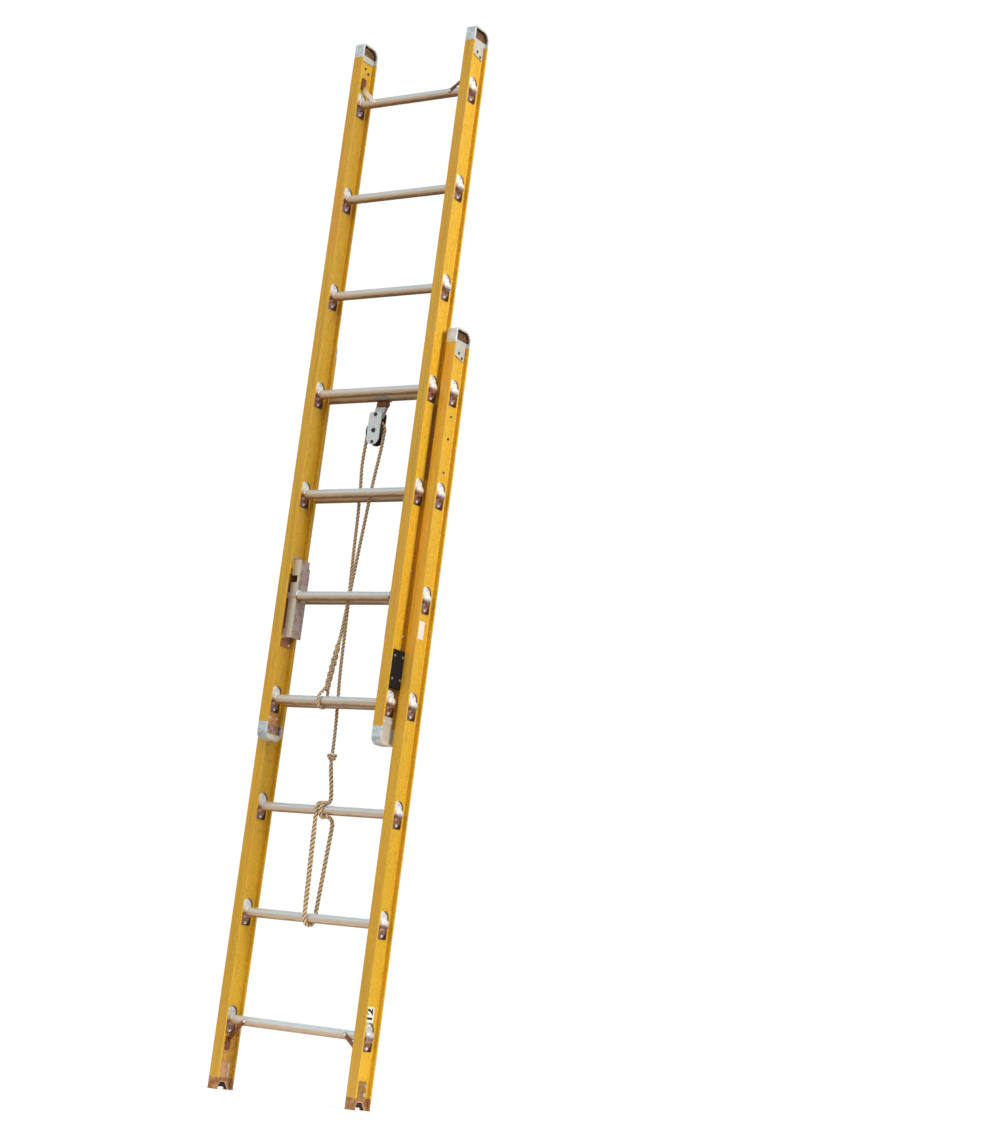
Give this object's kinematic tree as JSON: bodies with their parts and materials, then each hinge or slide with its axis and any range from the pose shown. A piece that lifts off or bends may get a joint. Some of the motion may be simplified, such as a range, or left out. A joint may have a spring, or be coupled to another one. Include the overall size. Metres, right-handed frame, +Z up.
{
  "type": "extension ladder",
  "caption": "Two-section extension ladder with I-section fibreglass rails, round metal rungs, gravity rung locks, cast end caps, toothed feet, and a rope halyard over a pulley.",
  "frame": {"origin": "middle of the ladder's outline at floor level, with the rails upright", "axes": "+X along the rungs, +Y away from the climber towards the wall, +Z up the rails"},
  "size_m": [0.604, 0.148, 3.6484],
  "materials": {
    "fibreglass": "golden yellow pultruded glass fibre with a faint fibre grain",
    "rope": "laid natural-fibre rope",
    "rung_tube": "satin tube with fine grip ridges",
    "cast_cap": "bright cast, tumbled",
    "spur_steel": "dull mauve-brown steel",
    "slide_block": "black bearing plastic",
    "sheave": "dark moulded sheave",
    "bush": "plain bronze-coloured bush",
    "hanger_steel": "brown strap",
    "plated_steel": "zinc plated",
    "bright_fittings": "polished plates and rivets",
    "lock_aluminium": "plain mill finish"
  },
  "bodies": {
    "base": {"base_left_rail": "fibreglass", "base_right_rail": "fibreglass", "base_rung_1": "rung_tube", "base_rung_2": "rung_tube", "base_rung_3": "rung_tube", "base_rung_4": "rung_tube", "base_rung_5": "rung_tube", "base_rung_6": "rung_tube", "base_rung_7": "rung_tube", "base_rung_plates": "bright_fittings", "base_rung_collars": "bright_fittings", "base_rivets": "bright_fittings", "base_left_top_cap": "cast_cap", "base_right_top_cap": "cast_cap", "left_butt_spur": "spur_steel", "right_butt_spur": "spur_steel", "spur_bolts": "plated_steel", "bottom_rung_braces": "plated_steel", "left_fly_guide": "lock_aluminium", "right_fly_guide": "lock_aluminium", "pulley_hanger": "hanger_steel", "halyard_upper_run": "rope", "halyard_lower_run": "rope", "halyard_hand_run": "rope", "joining_knot": "rope", "tail_rope": "rope"},
    "fly": {"fly_left_rail": "fibreglass", "fly_right_rail": "fibreglass", "fly_rung_1": "rung_tube", "fly_rung_2": "rung_tube", "fly_rung_3": "rung_tube", "fly_rung_4": "rung_tube", "fly_rung_5": "rung_tube", "fly_rung_6": "rung_tube", "fly_rung_7": "rung_tube", "fly_rung_plates": "bright_fittings", "fly_rung_collars": "bright_fittings", "fly_rivets": "bright_fittings", "fly_left_top_cap": "cast_cap", "fly_right_top_cap": "cast_cap", "fly_left_bottom_cap": "cast_cap", "fly_right_bottom_cap": "cast_cap", "top_rung_braces": "plated_steel", "left_lock_housing": "lock_aluminium", "right_lock_housing": "lock_aluminium", "lock_pivot_pins": "plated_steel", "slide_blocks": "slide_block", "slide_block_screws": "plated_steel", "halyard_eye": "rope"},
    "pulley": {"pulley_cheeks": "plated_steel", "pulley_pins": "plated_steel", "halyard_turn": "rope"},
    "sheave": {"halyard_sheave": "sheave", "sheave_bush": "bush"},
    "left_pawl": {"left_lock_pawl": "lock_aluminium"},
    "right_pawl": {"right_lock_pawl": "lock_aluminium"}
  },
  "joints": [
    {"name": "fly_slide", "type": "slide", "parent": "base", "child": "fly", "axis": [0, 0, 1], "range_m": [-1.0668, 0.045], "deforming": ["halyard_lower_run"]},
    {"name": "left_pawl_swing", "type": "hinge", "parent": "fly", "child": "left_pawl", "pos_m": [-0.209, -0.004, 1.7354], "axis": [1, 0, 0], "range_deg": [0, 16.4]},
    {"name": "right_pawl_swing", "type": "hinge", "parent": "fly", "child": "right_pawl", "pos_m": [0.209, -0.004, 1.7354], "axis": [1, 0, 0], "range_deg": [0, 16.4]},
    {"name": "pulley_swing", "type": "hinge", "parent": "base", "child": "pulley", "pos_m": [-0.014, 0.031, 2.2966], "axis": [0, 1, 0], "range_deg": [-10, 10], "deforming": ["halyard_upper_run", "halyard_hand_run"]},
    {"name": "sheave_spin", "type": "hinge", "parent": "pulley", "child": "sheave", "pos_m": [-0.014, 0.031, 2.2406], "axis": [0, 1, 0], "range_deg": [-80, 1740]}
  ],
  "couplings": [
    {"joint": "sheave_spin", "follows": "fly_slide", "rad_per_m": -28.249}
  ]
}
